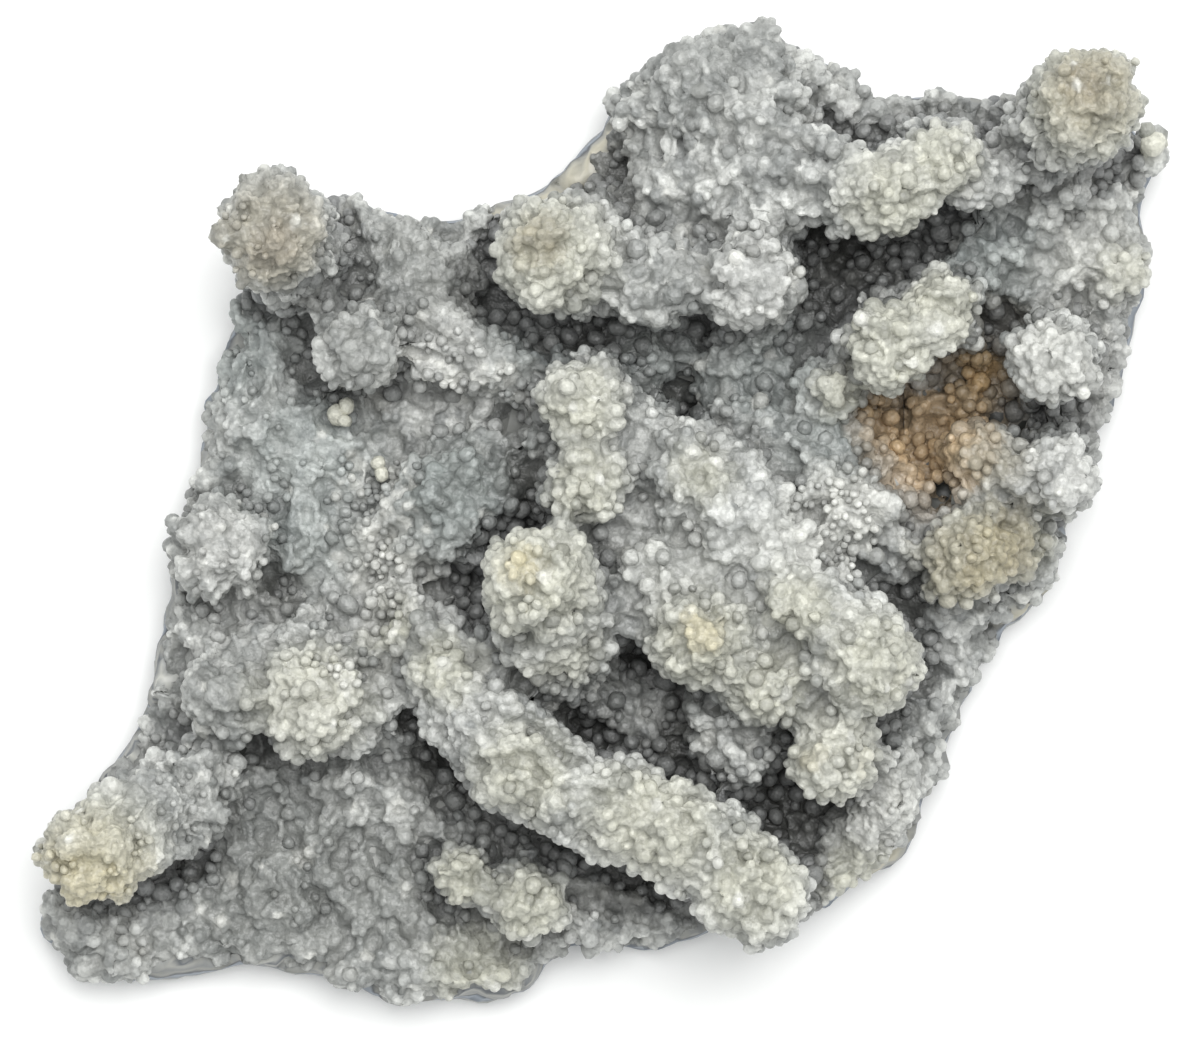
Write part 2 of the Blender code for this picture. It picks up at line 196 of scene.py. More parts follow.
def skin_of_the_stone(name, voxel, roundings):
    """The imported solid's mesh, merged, given a fine even skin, rounded and gathered into lumps."""
    bm = bmesh.new()
    bm.from_mesh(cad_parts[STONE_NODE].data)
    bmesh.ops.remove_doubles(bm, verts=bm.verts, dist=WELD)
    rough = bpy.data.meshes.new("stone_rough")
    bm.to_mesh(rough)
    bm.free()
    obj = bpy.data.objects.new("stone_rough", rough)
    bpy.context.scene.collection.objects.link(obj)
    skin = obj.modifiers.new("skin", "REMESH")
    skin.mode = "VOXEL"
    skin.voxel_size = voxel
    rounding = obj.modifiers.new("rounding", "SMOOTH")
    rounding.factor = 0.5
    rounding.iterations = roundings
    graph = bpy.context.evaluated_depsgraph_get()
    mesh = bpy.data.meshes.new_from_object(obj.evaluated_get(graph), depsgraph=graph)
    bpy.data.objects.remove(obj)
    mesh.name = name
    points = points_of(mesh)
    high = sum(
        (2 * np.abs(waves(points, size, SKIN_SEED + step)) - CREASE_DEPTH) * height
        for step, (size, height) in enumerate(SKIN_LUMPS)
    )
    high += SWELL * within(points, SWOLLEN)
    move_points(mesh, high * np.clip((points[:, 2] - SKIN_FOOT) / RIM_TOP, 0, 1))
    return mesh


def move_points(mesh, high):
    """Moves each point of a mesh outward by its own height in millimetres, but none below the underside."""
    points = points_of(mesh) + normals_of(mesh) * high[:, None]
    points[:, 2] = np.maximum(points[:, 2], 0)
    mesh.vertices.foreach_set("co", (points * MM).astype(np.float32).ravel())
    mesh.update()


def heights_around(points, far):
    """A grid of 1 mm cells with the mean height of the stone's top within so many millimetres of each cell."""
    cells = (points[:, :2] - grid_corner).astype(int)
    top = np.zeros(cells.max(axis=0) + GRID_MARGIN)
    np.maximum.at(top, tuple(cells.T), points[:, 2])
    reach = range(-far, far + 1)
    steps = [(i, j) for i in reach for j in reach if math.hypot(i, j) <= far]
    return sum(np.roll(top, step, axis=(0, 1)) for step in steps) / len(steps)


def sheltered(points):
    """How far each point lies down between the stalactites: 0 on them, and 1 deep in a cleft."""
    i, j = (points[:, :2] - grid_corner).astype(int).T
    return np.clip((wide_heights[i, j] - points[:, 2]) / CLEFT_DEPTH, 0, 1)


def creased(points, normals):
    """How narrow and steep a crease each point lies in: 0 out of any, and 1 where two knobs or fingers meet."""
    i, j = (points[:, :2] - grid_corner).astype(int).T
    upward = np.clip(CREASE_TILT + normals[:, 2], 0, 1)
    return np.clip((near_heights[i, j] - points[:, 2]) / CREASE_DROP, 0, 1) * upward


def bareness(points, normals):
    """1 on the broken rim and the underside of the slab, where no druse grew, and 0 elsewhere."""
    seen = within(points, RIM_SEEN)
    edge = RIM_TOP + RIM_UNEVEN * waves(points, *RIM_WAVES) + RIM_SEEN_RISE * seen
    below = np.clip(edge - points[:, 2], 0, 1)
    turned = np.clip((BARE_TILT + BARE_TILT_SEEN * seen - normals[:, 2]) / BARE_FADE, 0, 1)
    return below * turned


def banded_chalcedony():
    """Chalcedony: fine waxy quartz in growth bands, broken at the rim. Grey-blue and milky bands follow the slab,
    under a cream crust in places, and the bed of the druse is plain grey, with painted shade making it dark down in
    the clefts and creases."""
    made = new_material("banded_chalcedony")
    place = add_node(made, "ShaderNodeTexCoord").outputs["Object"]
    bend = add_node(made, "ShaderNodeTexNoise", inputs={"Vector": place, "Scale": BAND_BENDS, "Detail": 3.0})
    height = add_node(made, "ShaderNodeSeparateXYZ", inputs={"Vector": place}).outputs["Z"]
    slight = add_node(made, "ShaderNodeMath", {"operation": "MULTIPLY"}, {
        0: bend.outputs["Fac"], 1: BAND_BEND_SHARE})
    band = add_node(made, "ShaderNodeMath", {"operation": "MULTIPLY_ADD"}, {
        0: height, 1: BANDS, 2: slight.outputs[0]})
    level = add_node(made, "ShaderNodeMath", {"operation": "FRACT"}, {0: band.outputs[0]})
    bands = add_node(made, "ShaderNodeValToRGB", inputs={"Fac": level.outputs[0]})
    colour_steps(bands.color_ramp, [
        (0.0, "#7d7f7f"), (0.08, "#9b9b96"), (0.14, "#5a5e63"), (0.28, "#b9b9b2"), (0.36, "#666b70"),
        (0.54, "#45494e"), (0.62, "#9a9b96"), (0.72, "#626972"), (0.82, "#8a929c"), (0.88, "#3f444a"),
        (0.94, "#8f8f8a"), (1.0, "#7d7f7f"),
    ])
    crusted = add_node(made, "ShaderNodeAttribute", {"attribute_name": "crusted"}).outputs["Fac"]
    rim = add_node(made, "ShaderNodeMix", {"data_type": "RGBA"}, {
        "Factor": crusted, "A": bands.outputs["Color"], "B": linear(CRUST)})
    # Painted shade: the bed darkens down in the clefts and creases.
    deep = add_node(made, "ShaderNodeAttribute", {"attribute_name": "deep"}).outputs["Fac"]
    bed = add_node(made, "ShaderNodeMix", {"data_type": "RGBA"}, {
        "Factor": deep, "A": linear(BED_COLOUR), "B": linear(CLEFT_BED_PAINTED_SHADE)})
    bare = add_node(made, "ShaderNodeAttribute", {"attribute_name": "bare"}).outputs["Fac"]
    colour = add_node(made, "ShaderNodeMix", {"data_type": "RGBA"}, {
        "Factor": bare, "A": bed.outputs["Result"], "B": rim.outputs["Result"]})
    grain = add_node(made, "ShaderNodeTexNoise", inputs={"Vector": place, "Scale": ROCK_GRAIN, "Detail": 4.0})
    rough = add_node(made, "ShaderNodeBump", inputs={
        "Height": grain.outputs["Fac"], "Strength": 0.35, "Distance": 0.3 * MM})
    surface = add_node(made, "ShaderNodeBsdfPrincipled", inputs={
        "Base Color": colour.outputs["Result"], "Roughness": QUARTZ_ROUGHNESS, "IOR": QUARTZ_IOR,
        "Normal": rough.outputs["Normal"]})
    add_node(made, "ShaderNodeOutputMaterial", inputs={"Surface": surface.outputs["BSDF"]})
    return made


# The fine skin that the druse grows on later is made first, since it tells how high the stone is round each place.
coat = skin_of_the_stone("coat", COAT_VOXEL, COAT_ROUNDING)
coat_points, coat_outward = points_of(coat), normals_of(coat)
grid_corner = np.floor(coat_points[:, :2].min(axis=0)) - GRID_MARGIN
wide_heights = heights_around(coat_points, CLEFT_REACH)
near_heights = heights_around(coat_points, CREASE_REACH)

stone_mesh = skin_of_the_stone("banded_stone", CORE_VOXEL, CORE_ROUNDING)
stone_points, stone_outward = points_of(stone_mesh), normals_of(stone_mesh)
stone_bare = bareness(stone_points, stone_outward)
stone_creased = creased(stone_points, stone_outward)
set_attribute(stone_mesh, "bare", stone_bare)
set_attribute(stone_mesh, "crusted", within(stone_points, RIM_CRUSTED) * np.clip(
    stone_points[:, 2] - CRUST_FOOT, 0, 1))
# How far down in a cleft or crease each point lies, where the bed is painted dark as painted shade.
set_attribute(stone_mesh, "deep", np.maximum(sheltered(stone_points), stone_creased))
move_points(stone_mesh, (CORE_SINK + CREASE_SINK * stone_creased) * (stone_bare - 1))
stone_mesh.shade_smooth()
stone_mesh.materials.clear()
stone_mesh.materials.append(banded_chalcedony())
stone = bpy.data.objects.new("banded_stone", stone_mesh)
show(stone)
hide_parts(STONE_NODE)


# The druse: quartz grains 1 to 3 mm across, grown together side by side into a coat over the whole upper side of
# the stone. The coat is a finer skin of the same solid, raised into a rounded dome at each grain and cut into
# strips. Loose round grains sit proud of it in the sugary patches, the rusty basin and the clefts.
COAT_STRIPS = 5
COAT_BASE = 0.75
COAT_SINK = 1.3
GRAIN_SEED = 5
BARE_LIMIT = 0.5
GRAIN_RADIUS = 1.02
GRAIN_VARIES = 0.2
GRAIN_RADII = (0.5, 1.6)
GRAIN_SPACING = 0.77
GRAIN_RISES = (-0.15, 0.25)
GRAINS_TOGETHER = 4
GRAIN_FUSING = 8.0
FINE_SHARE = 0.62
SUGAR_SHARE = 0.7
CLEFT_SHARE = 1.3
PROUD_FORMS = 6
PROUD_UNEVEN = 0.1
PROUD_STRETCH = (0.88, 1.14)
PROUD_SIZE = 0.95
PROUD_RISE = (0.05, 0.5)
PROUD_SHARE = 0.05
PROUD_IN_SUGAR = 0.4
PROUD_IN_RUST = 0.4
PROUD_IN_CLEFTS = 0.4
PROUD_IN_CREASES = 0.45
PROUD_FACING = 0.25
# Painted shade: loose balls in the clefts and creases are painted towards this mid grey.
PROUD_PAINTED_SHADE = "#868786"
PROUD_SHADE_SHARE = 0.55

# Round zones as (x, y, z, radius), each with its middle at the top of the knob or in the hollow that it marks.
# In the first two lists the grains are smaller, and in the second also whiter and loose. The others are stains,
# but for the last, which is painted shade in the darkest gaps.
FINE = [
    (-46, 13, 9, 13), (-53, 24, 9, 9), (-53, -3, 18, 9), (-33, 38, 14, 8), (40, -41, 16, 8), (-60, -40, 20, 9),
    (-46, -53, 9, 8), (-70, -46, 27, 11), (-62, -42, 24, 10), (67, 58, 38, 12), (-45, 40, 38, 12),
]
SUGAR = [
    (-31, 4, 12, 7), (-31, -4, 13, 7), (-29, -12, 14, 6), (-21, 20, 18, 7), (-14, 18, 18, 5), (34, 1, 24, 7),
    (33, -5, 26, 5), (-36, -20, 24, 5),
]
WHITE = [
    (21, 33, 34, 9), (63, 22, 32, 9), (64, 6, 28, 8), (-40, -25, 28, 8), (-31, -3, 13, 9), (-28, -11, 14, 8),
    (-21, 21, 19, 9), (-53, -3, 23, 8), (35, 1, 26, 9), (32, -3, 26, 7), (38, -41, 17, 8), (71, 20, 11, 7),
    (70, 36, 14, 8),
]
BLUE = [
    (-21, 4, 20, 11), (-9, 25, 13, 9), (8, 22, 13, 10), (25, 21, 13, 10), (31, 10, 15, 9), (54, 37, 16, 9),
    (-42, -1, 11, 9), (-53, 27, 10, 12), (-42, 8, 11, 12),
]
CREAM = [
    (67, 58, 38, 11), (-70, -46, 27, 10), (-7, 37, 31, 10), (40, 45, 31, 8), (47, 50, 31, 7),
    (40, 24, 31, 9), (47, 29, 31, 8), (-9, -8, 37, 11), (-2, 5, 30, 7), (-3, 16, 29, 7), (14, -17, 32, 9),
    (23, -23, 29, 7), (27, -12, 32, 6), (38, -20, 32, 9), (33, -33, 28, 9), (51, -6, 24, 9), (60, -3, 17, 6),
    (-40, -25, 24, 10), (-20, -50, 20, 6), (-10, -54, 21, 7), (7, -42, 34, 11),
    (21, -50, 32, 9), (-11, -35, 31, 8), (78, 53, 13, 3), (-17, -64, 12, 8), (14, 7, 30, 5), (36, -50, 12, 6),
    (74, 35, 15, 5), (-6, 48, 9, 5), (34, 18, 23, 6), (-22, -20, 26, 6), (-30, -14, 18, 5),
    (-6, -17, 27, 7),
]
GLASSY = [
    (-46, -50, 11, 18), (-30, -52, 11, 12), (-28, 36, 18, 10), (-35, 24, 29, 7), (-52, -25, 22, 8), (-21, 4, 20, 10),
    (-14, -53, 14, 10),
]
YELLOW = [
    (-71, -49, 28, 9), (14, -15, 36, 4), (-11, -6, 42, 4), (56, -3, 24, 6), (38, -34, 31, 3), (28, -32, 31, 3),
    (53, -8, 27, 4),
]
TAN = [
    (55, 26, 12, 6), (54, 21, 12, 7), (-45, 38, 42, 11), (-45, 37, 43, 8), (67, 59, 43, 9), (-9, 39, 35, 5),
    (53, 10, 23, 7), (58, -4, 22, 7), (50, -6, 24, 8),
]
RUST = [
    (45, 11, 9, 12), (50, 7, 10, 9), (38, 14, 10, 8), (53, 20, 11, 6), (51, 9, 17, 6), (50, 15, 11, 8),
    (30, -26, 20, 3),
]
BROWN = [(-44, 38, 43, 4), (-46, 35, 42, 3), (66, 60, 44, 4)]
DUSKY = [
    (19, 64, 20, 11), (8, 34, 31, 8), (-46, -50, 11, 14), (-30, -55, 12, 10), (46, -31, 14, 8),
    (14, 8, 29, 7),
]
BRIGHT = [
    (-40, -27, 26, 9), (34, 1, 26, 9), (63, 22, 32, 9), (33, -33, 28, 7), (10, -6, 29, 8), (39, -40, 18, 8),
    (-6, -18, 27, 6), (70, 36, 14, 8), (-31, -6, 14, 6), (26, -3, 30, 6),
]
# The darkest gaps between the knobs and fingers, painted near black as painted shade.
PAINTED_SHADE_GAPS = [
    (-17, 32, 13, 6), (0, 46, 14, 7), (-2, 46, 11, 7), (0, 49, 10, 7), (1, 45, 17, 5), (32, 37, 9, 9),
    (-2, 25, 11, 4), (12, 17, 9, 5), (-10, 6, 16, 6), (5, -18, 14, 6), (-3, -28, 9, 6), (12, -31, 10, 6),
    (28, -41, 9, 8), (5, -52, 10, 6), (-23, -35, 9, 7), (-24, -28, 11, 5), (-46, -10, 11, 4), (42, -11, 14, 4),
    (49, 3, 12, 4), (56, 2, 19, 3), (38, 39, 10, 7), (-1, 45, 20, 5), (2, 47, 15, 5),
]

# Single white lumps on the open ground and at the right-hand corner.
LUMP = "#cccbbe"
LUMPS = [
    (-37.3, 15.0, 11.8, 1.4), (-36.0, 16.2, 12.0, 1.3), (-36.3, 14.2, 12.5, 1.1), (-31.5, 8.2, 12.2, 1.1),
    (-31.0, 6.6, 12.4, 1.1), (77.8, 53.2, 12.8, 1.9),
]

# Stains and painted shade in the order in which they are laid: the colour, how much of it the middle of a zone
# takes, and its zones. The last one is painted shade in the darkest gaps, laid over the flecks and the painted
# shade of furrows, creases and clefts too.
STAINS_AND_SHADE = (
    ("#6c6e6b", 0.6, GLASSY), ("#bebeba", 0.55, WHITE), ("#86908f", 0.5, BLUE), ("#bab9a8", 0.75, CREAM),
    ("#c2b792", 0.65, YELLOW), ("#8a8066", 0.65, TAN), ("#73604a", 0.3, BROWN), ("#6c6e6b", 0.3, DUSKY),
    ("#d4d4cc", 0.35, BRIGHT), ("#c09f70", 0.85, RUST), ("#33332f", 0.65, PAINTED_SHADE_GAPS),
)
GREY_GRAIN = "#888a88"
MILKY_GRAIN = "#c9cac6"
# Painted shade: grains down in the clefts, in the creases and along the furrows are painted towards these dark
# colours.
CLEFT_PAINTED_SHADE = "#515256"
CREASE_PAINTED_SHADE = "#3c3c35"
CLEFT_SHADE_SHARE = 0.65
CREASE_SHADE_SHARE = 0.45
RUST_CLEARS = 0.8
STAIN_LEAST = 0.65
CLOUDS = ((13.0, 31), (5.0, 32))
CLOUD_SHARE = 0.25
LUCK_SHARE = 1.1
# Painted shade along the furrows between the coat's lumps.
FURROWS = (SKIN_LUMPS[1][0], SKIN_SEED + 1)
FURROW_SHADE_SHARE = 0.3
FURROW_NARROWS = 4
# A few grains by chance, and more in the sugary patches, are painted near white: partly white grains, partly painted
# glints.
WHITE_FLECK_AND_GLINT = "#d4d4ce"
FLECK_AND_GLINT_STRENGTH = 0.65
FLECK_SHARE = 0.02
SUGAR_FLECKS = 0.4

# How light a grain is painted: at its foot, and what its tip, its crystal faces and its cloudiness add. The tip's
# light over a darker foot is painted shade at the junctions, and the crystal faces' light is a painted sparkle. The
# last two are patterns, and their scales follow.
FOOT_LIGHT = 0.45
TIP_PAINTED_LIGHT = 0.14
FACE_PAINTED_SPARKLE = 0.26
CLOUD_LIGHT = 0.6
CRYSTALS = 2000.0
CLOUDINESS = 1100.0


def grain_forms(chance):
    """Unit balls of a few dozen faces, each pushed out of round in its own way."""
    forms = []
    for _ in range(PROUD_FORMS):
        bm = bmesh.new()
        bmesh.ops.create_icosphere(bm, subdivisions=2, radius=1)
        for vertex in bm.verts:
            vertex.co *= 1 + chance.uniform(-PROUD_UNEVEN, PROUD_UNEVEN)
        points = np.array([vertex.co[:] for vertex in bm.verts])
        faces = np.array([[vertex.index for vertex in face.verts] for face in bm.faces])
        bm.free()
        forms.append((points, faces))
    return forms


def spaced(points, radii):
    """The indices of the points that can stay if two grains may come no nearer than a share of their radii."""
    cell = 2 * radii.max() * GRAIN_SPACING
    cells = np.floor(points / cell).astype(int).tolist()
    places = points.tolist()
    sizes = radii.tolist()
    taken = {}
    kept = []
    around = [(i, j, k) for i in (-1, 0, 1) for j in (-1, 0, 1) for k in (-1, 0, 1)]
    for index, (cx, cy, cz) in enumerate(cells):
        x, y, z = places[index]
        size = sizes[index]
        free = True
        for i, j, k in around:
            for px, py, pz, other in taken.get((cx + i, cy + j, cz + k), ()):
                least = (size + other) * GRAIN_SPACING
                if (px - x) ** 2 + (py - y) ** 2 + (pz - z) ** 2 < least * least:
                    free = False
                    break
            if not free:
                break
        if free:
            taken.setdefault((cx, cy, cz), []).append((x, y, z, size))
            kept.append(index)
    return np.array(kept)


def turned_to(outward, chance):
    """A turn for each grain that stands it on its outward direction and spins it about it by chance."""
    helper = np.where(np.abs(outward[:, 2:]) < 0.9, (0.0, 0.0, 1.0), (1.0, 0.0, 0.0))
    side = np.cross(helper, outward)
    side /= np.linalg.norm(side, axis=1)[:, None]
    other = np.cross(outward, side)
    angle = chance.uniform(0, math.tau, len(outward))[:, None]
    first = side * np.cos(angle) + other * np.sin(angle)
    second = np.cross(outward, first)
    return np.stack((first, second, outward), axis=2)


# Lays stains, and painted shade too, on the grains' colours.
def tinted_towards(colours, colour, share):
    """Moves each grain's colour towards one other by its own share."""
    return colours + (np.array(linear(colour)) - colours) * np.asarray(share)[:, None]


def grain_colours(points, creases, chance):
    """Each grain's colour: grey to milky by chance and in clouds, stained by the zones, and darker in the clefts,
    furrows, creases and darkest gaps as painted shade.
    """
    luck = chance.random(len(points))
    clouds = sum(CLOUD_SHARE * waves(points, *cloud) for cloud in CLOUDS)
    milky = np.clip(0.5 + clouds + LUCK_SHARE * (luck - 0.5), 0, 1)
    colours = tinted_towards(np.tile(linear(GREY_GRAIN), (len(points), 1)), MILKY_GRAIN, milky)
    for colour, most, zones in STAINS_AND_SHADE[:-1]:
        share = most * (STAIN_LEAST + (1 - STAIN_LEAST) * luck)
        colours = tinted_towards(colours, colour, share * within(points, zones))
    # Grains painted near white: partly white grains, partly painted glints.
    flecks_and_glints = chance.random(len(points)) < FLECK_SHARE + SUGAR_FLECKS * within(points, SUGAR)
    colours = tinted_towards(colours, WHITE_FLECK_AND_GLINT, FLECK_AND_GLINT_STRENGTH * flecks_and_glints)
    # Painted shade: grains down in the clefts are darker, except in the rusty basin.
    colours = tinted_towards(colours, CLEFT_PAINTED_SHADE, CLEFT_SHADE_SHARE * sheltered(points) * (1 - within(points, RUST)))
    # Painted shade: grains along the furrows of the coat and in the creases are darker.
    furrow_shade = FURROW_SHADE_SHARE * np.clip(1 - FURROW_NARROWS * np.abs(waves(points, *FURROWS)), 0, 1)
    colours = tinted_towards(colours, CREASE_PAINTED_SHADE, furrow_shade)
    colours = tinted_towards(colours, CREASE_PAINTED_SHADE, CREASE_SHADE_SHARE * creases * (1 - RUST_CLEARS * within(points, RUST)))
    colour, most, zones = STAINS_AND_SHADE[-1]
    return tinted_towards(colours, colour, most * within(points, zones))


def fused(points, centres, radii, rises, colours):
    """The height of the coat at each point of its skin, its colour there, and how near the top of a grain it is."""
    tree = KDTree(len(centres))
    for number, centre in enumerate(centres.tolist()):
        tree.insert(centre, number)
    tree.balance()
    found = [tree.find_n(point, GRAINS_TOGETHER) for point in points.tolist()]
    mine = np.array([[number for _, number, _ in near] for near in found])
    away = np.array([[distance for _, _, distance in near] for near in found]) / radii[mine]
    dome = np.sqrt(np.clip(1 - away ** 2, 0, 1))
    high = radii[mine] * (dome + rises[mine])
    top = high.max(axis=1)
    weight = np.exp(GRAIN_FUSING * (high - top[:, None]))
    whole = weight.sum(axis=1)
    colour = (colours[mine] * weight[:, :, None]).sum(axis=1) / whole[:, None]
    return top + np.log(whole) / GRAIN_FUSING, colour, dome.max(axis=1)


def cut_off(bm, limit, side):
    """Cuts away all of a mesh beyond a place on X, towards one side, and closes it there."""
    bmesh.ops.bisect_plane(
        bm, geom=bm.verts[:] + bm.edges[:] + bm.faces[:], plane_co=(limit, 0, 0), plane_no=(side, 0, 0),
        clear_outer=True)
    bmesh.ops.holes_fill(bm, edges=[edge for edge in bm.edges if edge.is_boundary], sides=0)


def parted(mesh, strips):
    """Cuts a closed mesh into strips across X, with about as many points in each, and caps them. Each keeps the
    outward directions of the whole mesh, so that no seam shows. Where a cut meets a tight fold, a few cap faces
    come out double and are dropped."""
    set_attribute(mesh, "outward", normals_of(mesh))
    limits = np.quantile(points_of(mesh)[:, 0], np.linspace(0, 1, strips + 1)[1:-1]) * MM
    parts = []
    for left, right in zip([None, *limits], [*limits, None]):
        bm = bmesh.new()
        bm.from_mesh(mesh)
        if left is not None:
            cut_off(bm, left, -1)
        if right is not None:
            cut_off(bm, right, 1)
        bmesh.ops.triangulate(bm, faces=bm.faces[:])
        made = bpy.data.meshes.new(f"druse_{len(parts) + 1}")
        bm.to_mesh(made)
        bm.free()
        made.validate()
        outward = np.zeros(len(made.vertices) * 3, np.float32)
        made.attributes["outward"].data.foreach_get("vector", outward)
        made.shade_smooth()
        made.normals_split_custom_set_from_vertices(outward.reshape(-1, 3))
        parts.append(made)
    return parts


def proud_balls(points, outward, radii, colours, chance):
    """One joined mesh of loose round grains, each stood on its outward direction."""
    turns = turned_to(outward, chance)
    stretch = chance.uniform(*PROUD_STRETCH, (len(points), 3))
    picks = chance.integers(0, PROUD_FORMS, len(points))
    corners, faces, tints, tips, first = [], [], [], [], 0
    for form, (shape, sides) in enumerate(grain_forms(chance)):
        mine = np.flatnonzero(picks == form)
        local = shape[None] * stretch[mine][:, None] * radii[mine][:, None, None]
        placed = np.einsum("nij,nvj->nvi", turns[mine], local) + points[mine][:, None]
        corners.append(placed.reshape(-1, 3))
        faces.append((sides[None] + first + np.arange(len(mine))[:, None, None] * len(shape)).reshape(-1, 3))
        first += len(mine) * len(shape)
        tints.append(np.repeat(colours[mine], len(shape), axis=0))
        tips.append(np.tile(shape[:, 2], len(mine)))
    mesh = bpy.data.meshes.new("proud_grains")
    mesh.from_pydata((np.concatenate(corners) * MM).tolist(), [], np.concatenate(faces).tolist())
    set_attribute(mesh, "tint", np.concatenate(tints))
    # The tip paints each ball lighter at its top than at its foot, a painted shade.
    set_attribute(mesh, "tip", np.clip(np.concatenate(tips), 0, 1))
    mesh.shade_smooth()
    return mesh


def drusy_quartz():
    """Quartz: milky, cloudy grains grown into each other. Each is painted a little greyer at its foot than at its
    tip, a painted shade at the junctions, its small crystal faces are painted lighter by chance as a painted
    sparkle, and fine dents frost it."""
    made = new_material("drusy_quartz")
    place = add_node(made, "ShaderNodeTexCoord").outputs["Object"]
    tint = add_node(made, "ShaderNodeAttribute", {"attribute_name": "tint"}).outputs["Color"]
    tip = add_node(made, "ShaderNodeAttribute", {"attribute_name": "tip"}).outputs["Fac"]
    cloud = add_node(made, "ShaderNodeTexNoise", inputs={"Vector": place, "Scale": CLOUDINESS, "Detail": 3.0})
    facets = add_node(made, "ShaderNodeTexVoronoi", inputs={"Vector": place, "Scale": CRYSTALS})
    each = add_node(made, "ShaderNodeSeparateColor", inputs={"Color": facets.outputs["Color"]})
    # Painted shade and sparkle: each grain lighter at its tip than at its foot, and each small crystal face lighter
    # by chance.
    tip_to_foot_shade = add_node(made, "ShaderNodeMath", {"operation": "MULTIPLY_ADD"}, {0: tip, 1: TIP_PAINTED_LIGHT, 2: FOOT_LIGHT})
    lighter = add_node(made, "ShaderNodeMath", {"operation": "MULTIPLY_ADD"}, {
        0: each.outputs["Red"], 1: FACE_PAINTED_SPARKLE, 2: tip_to_foot_shade.outputs[0]})
    milk = add_node(made, "ShaderNodeMath", {"operation": "MULTIPLY_ADD"}, {
        0: cloud.outputs["Fac"], 1: CLOUD_LIGHT, 2: lighter.outputs[0]})
    colour = add_node(made, "ShaderNodeMix", {"data_type": "RGBA", "blend_type": "MULTIPLY"}, {
        "Factor": 1.0, "A": tint})
    made.node_tree.links.new(milk.outputs[0], colour.inputs["B"])
    frost = add_node(made, "ShaderNodeMath", {"operation": "MULTIPLY_ADD"}, {
        0: facets.outputs["Distance"], 1: 0.5, 2: cloud.outputs["Fac"]})
    dents = add_node(made, "ShaderNodeBump", inputs={
        "Height": frost.outputs[0], "Strength": 0.5, "Distance": 0.4 * MM})
    surface = add_node(made, "ShaderNodeBsdfPrincipled", inputs={
        "Base Color": colour.outputs["Result"], "Roughness": QUARTZ_ROUGHNESS, "IOR": QUARTZ_IOR,
        "Normal": dents.outputs["Normal"]})
    add_node(made, "ShaderNodeOutputMaterial", inputs={"Surface": surface.outputs["BSDF"]})
    return made


def show_quartz(mesh):
    """Puts a mesh of the druse in the scene."""
    mesh.materials.clear()
    mesh.materials.append(quartz)
    show(bpy.data.objects.new(mesh.name, mesh))


quartz = drusy_quartz()
coat_bare = bareness(coat_points, coat_outward)
coat_creased = creased(coat_points, coat_outward)
coat_dip = CREASE_SINK * coat_creased * (1 - coat_bare)

# Grains are taken by chance from the coat's own points, off the rim and the underside, until no more fit.
chance = np.random.default_rng(GRAIN_SEED)
picked = chance.permutation(np.flatnonzero(coat_bare < BARE_LIMIT))
radii = GRAIN_RADIUS * np.exp(GRAIN_VARIES * chance.normal(size=len(picked)))
radii *= 1 - (1 - FINE_SHARE) * within(coat_points[picked], FINE)
radii *= 1 - (1 - SUGAR_SHARE) * within(coat_points[picked], SUGAR)
radii *= 1 + (CLEFT_SHARE - 1) * sheltered(coat_points[picked])
radii = np.clip(radii, *GRAIN_RADII)
stays = spaced(coat_points[picked], radii)
picked, radii = picked[stays], radii[stays]
rises = chance.uniform(*GRAIN_RISES, len(picked))
colours = grain_colours(coat_points[picked], coat_creased[picked], chance)
high, tints, tips = fused(coat_points, coat_points[picked], radii, rises, colours)
# The tint carries the grains' painted shade from clefts, creases and gaps, and the tip paints each grain darker at
# its foot.
set_attribute(coat, "tint", tints)
set_attribute(coat, "tip", tips)
move_points(coat, high - coat_dip - COAT_BASE - COAT_SINK * coat_bare)
coat.shade_smooth()
for strip in parted(coat, COAT_STRIPS):
    show_quartz(strip)

# Some of the grains also have a loose ball on them, and the single lumps are balls too.
shares = PROUD_SHARE + PROUD_IN_SUGAR * within(coat_points[picked], SUGAR)
shares += PROUD_IN_RUST * within(coat_points[picked], RUST)
shares += PROUD_IN_CLEFTS * sheltered(coat_points[picked]) ** 2 + PROUD_IN_CREASES * coat_creased[picked]
shares *= (coat_bare[picked] == 0) & (coat_outward[picked, 2] > PROUD_FACING)
proud = chance.random(len(picked)) < shares
proud_radii = radii[proud] * PROUD_SIZE
proud_rise = (proud_radii * chance.uniform(*PROUD_RISE, proud.sum()) - coat_dip[picked[proud]])[:, None]
proud_points = coat_points[picked[proud]]
# Painted shade: loose balls in clefts and creases are moved towards a mid grey.
proud_shade = PROUD_SHADE_SHARE * np.maximum(sheltered(proud_points), coat_creased[picked[proud]])
proud_shade *= 1 - within(proud_points, RUST)
lumps = np.array(LUMPS)
show_quartz(proud_balls(
    np.concatenate((proud_points + coat_outward[picked[proud]] * proud_rise, lumps[:, :3])),
    np.concatenate((coat_outward[picked[proud]], np.tile((0.0, 0.0, 1.0), (len(lumps), 1)))),
    np.concatenate((proud_radii, lumps[:, 3])),
    np.concatenate((tinted_towards(colours[proud], PROUD_PAINTED_SHADE, proud_shade), np.tile(linear(LUMP), (len(lumps), 1)))),
    chance))


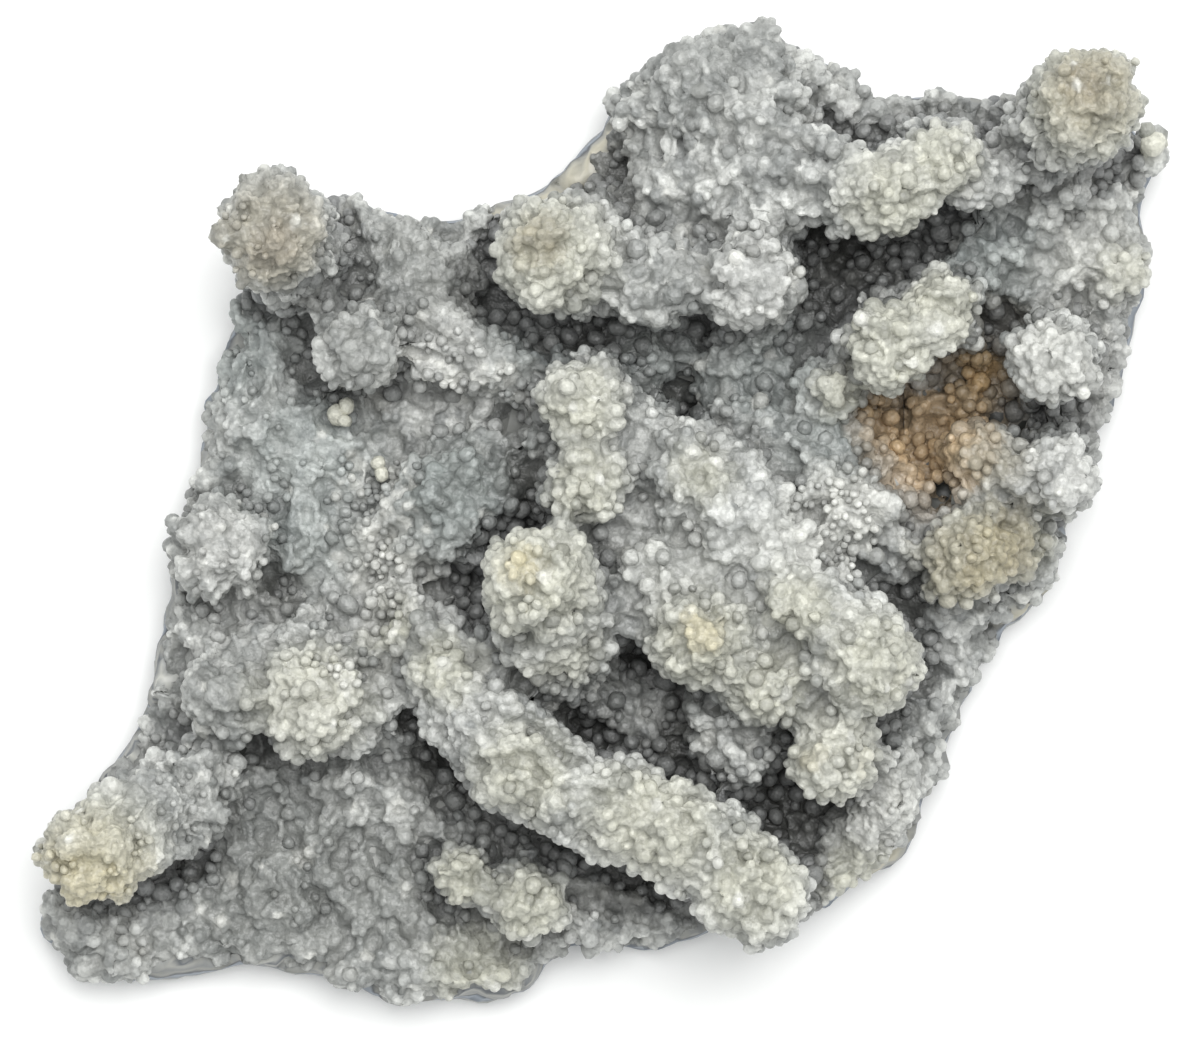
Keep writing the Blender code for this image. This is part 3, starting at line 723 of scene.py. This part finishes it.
# The studio: a pale floor, a broad soft light high over the plate and a little towards its upper edge, and fill
# from all round.
FLOOR_HALF = 1.2
FLOOR_COLOUR = "#f4f4f3"
ROOM_COLOUR = "#f5f7f7"
ROOM_STRENGTH = 0.8
LIGHT_PLACE = (0.1, 0.26, 0.85)
LIGHT_SIZE = 0.7
LIGHT_POWER = 8.0
PLATE_MIDDLE = (0, 0, 0.02)
bm = bmesh.new()
bmesh.ops.create_grid(bm, x_segments=1, y_segments=1, size=FLOOR_HALF)
floor_mesh = bpy.data.meshes.new("floor")
bm.to_mesh(floor_mesh)
bm.free()
paper = new_material("white_paper")
paper_surface = add_node(paper, "ShaderNodeBsdfPrincipled", inputs={
    "Base Color": linear(FLOOR_COLOUR), "Roughness": 0.8})
add_node(paper, "ShaderNodeOutputMaterial", inputs={"Surface": paper_surface.outputs["BSDF"]})
floor_mesh.materials.append(paper)
floor = bpy.data.objects.new("floor", floor_mesh)
bpy.context.scene.collection.objects.link(floor)

world = bpy.data.worlds.new("soft_room")
world.use_nodes = True
world.node_tree.nodes["Background"].inputs["Color"].default_value = linear(ROOM_COLOUR)
world.node_tree.nodes["Background"].inputs["Strength"].default_value = ROOM_STRENGTH
bpy.context.scene.world = world

lamp = bpy.data.lights.new("window_light", "AREA")
lamp.size = LIGHT_SIZE
lamp.energy = LIGHT_POWER
window_light = bpy.data.objects.new("window_light", lamp)
window_light.location = LIGHT_PLACE
window_light.rotation_euler = (Vector(PLATE_MIDDLE) - Vector(LIGHT_PLACE)).to_track_quat("-Z", "Y").to_euler()
bpy.context.scene.collection.objects.link(window_light)

# The camera looks straight down on the plate from 0.9 m, with 0.14 mm of the plate to each pixel of the photo.
CAMERA_HEIGHT = 0.9
PHOTO_WIDTH = 1200
PIXEL = 0.14 * MM
SENSOR_WIDTH = 36
FOCUS_PLANE = 0.02
VIEW_MIDDLE = (-0.16 * MM, -1.43 * MM)
lens = bpy.data.cameras.new("camera")
lens.sensor_width = SENSOR_WIDTH
lens.lens = SENSOR_WIDTH * (CAMERA_HEIGHT - FOCUS_PLANE) / (PHOTO_WIDTH * PIXEL)
camera = bpy.data.objects.new("camera", lens)
camera.location = (*VIEW_MIDDLE, CAMERA_HEIGHT)
bpy.context.scene.collection.objects.link(camera)
bpy.context.scene.camera = camera
bpy.context.scene.view_settings.view_transform = "Standard"
